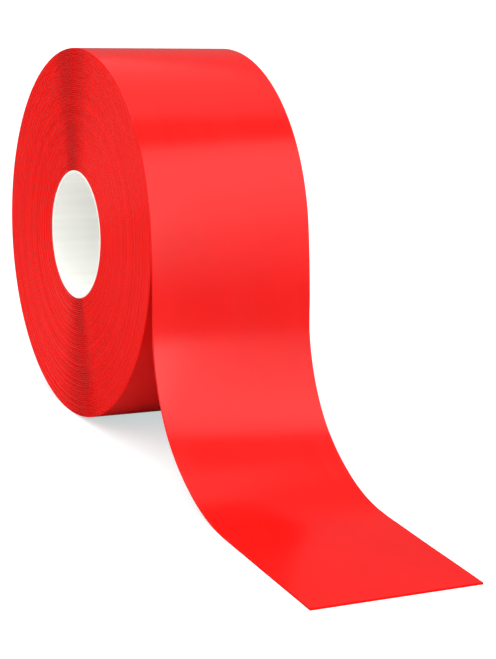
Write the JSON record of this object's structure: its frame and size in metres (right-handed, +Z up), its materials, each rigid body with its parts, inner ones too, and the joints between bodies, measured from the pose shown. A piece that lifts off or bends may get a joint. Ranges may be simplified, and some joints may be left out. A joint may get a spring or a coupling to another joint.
{
  "type": "roll of vinyl",
  "caption": "Wide red vinyl strip with adhesive and liner wound on a white core, its loose end bending down onto the floor and lying flat, with an end that peels.",
  "frame": {"origin": "middle of the core's bore, half way across the web", "axes": "+X along the core's axis, +Y towards the back of the roll, away from the loose end, +Z up; the roll stands on its rim"},
  "size_m": [0.1016, 0.4336, 0.2274],
  "materials": {
    "red_vinyl": "smooth satin-gloss calendered vinyl",
    "adhesive": "soft tacky acrylic, semi-clear",
    "liner_film": "thin semi-clear polyester film",
    "core_white": "satin white tube",
    "start_strip": "double-sided tape"
  },
  "bodies": {
    "roll": {"core_tube": "core_white", "start_tape": "start_strip", "film_wound": "red_vinyl", "adhesive_wound": "adhesive", "liner_wound": "liner_film"},
    "tail_upper": {"film_span": "red_vinyl", "adhesive_span": "adhesive", "liner_span": "liner_film"},
    "tail_curve": {"film_bend": "red_vinyl", "adhesive_bend": "adhesive", "liner_bend": "liner_film"},
    "tail_end": {"film_floor": "red_vinyl", "adhesive_floor": "adhesive", "liner_floor": "liner_film"},
    "peel_end": {"film_flap": "red_vinyl", "adhesive_flap": "adhesive"}
  },
  "joints": [
    {"name": "tail_root_flex", "type": "hinge", "parent": "roll", "child": "tail_upper", "pos_m": [0, -0.1108, 0.02681], "axis": [-1, 0, 0], "range_deg": [0, 35], "stiffness_Nm_per_rad": 0.06},
    {"name": "tail_bend_flex", "type": "hinge", "parent": "tail_upper", "child": "tail_curve", "pos_m": [0, -0.1263, -0.03724], "axis": [-1, 0, 0], "range_deg": [0, 30], "stiffness_Nm_per_rad": 0.05},
    {"name": "tail_end_lift", "type": "hinge", "parent": "tail_curve", "child": "tail_end", "pos_m": [0, -0.22155, -0.1122], "axis": [-1, 0, 0], "range_deg": [0, 40], "stiffness_Nm_per_rad": 0.04},
    {"name": "film_peel", "type": "hinge", "parent": "tail_end", "child": "peel_end", "pos_m": [0, -0.29155, -0.1122], "axis": [-1, 0, 0], "range_deg": [0, 110], "stiffness_Nm_per_rad": 0.01}
  ]
}
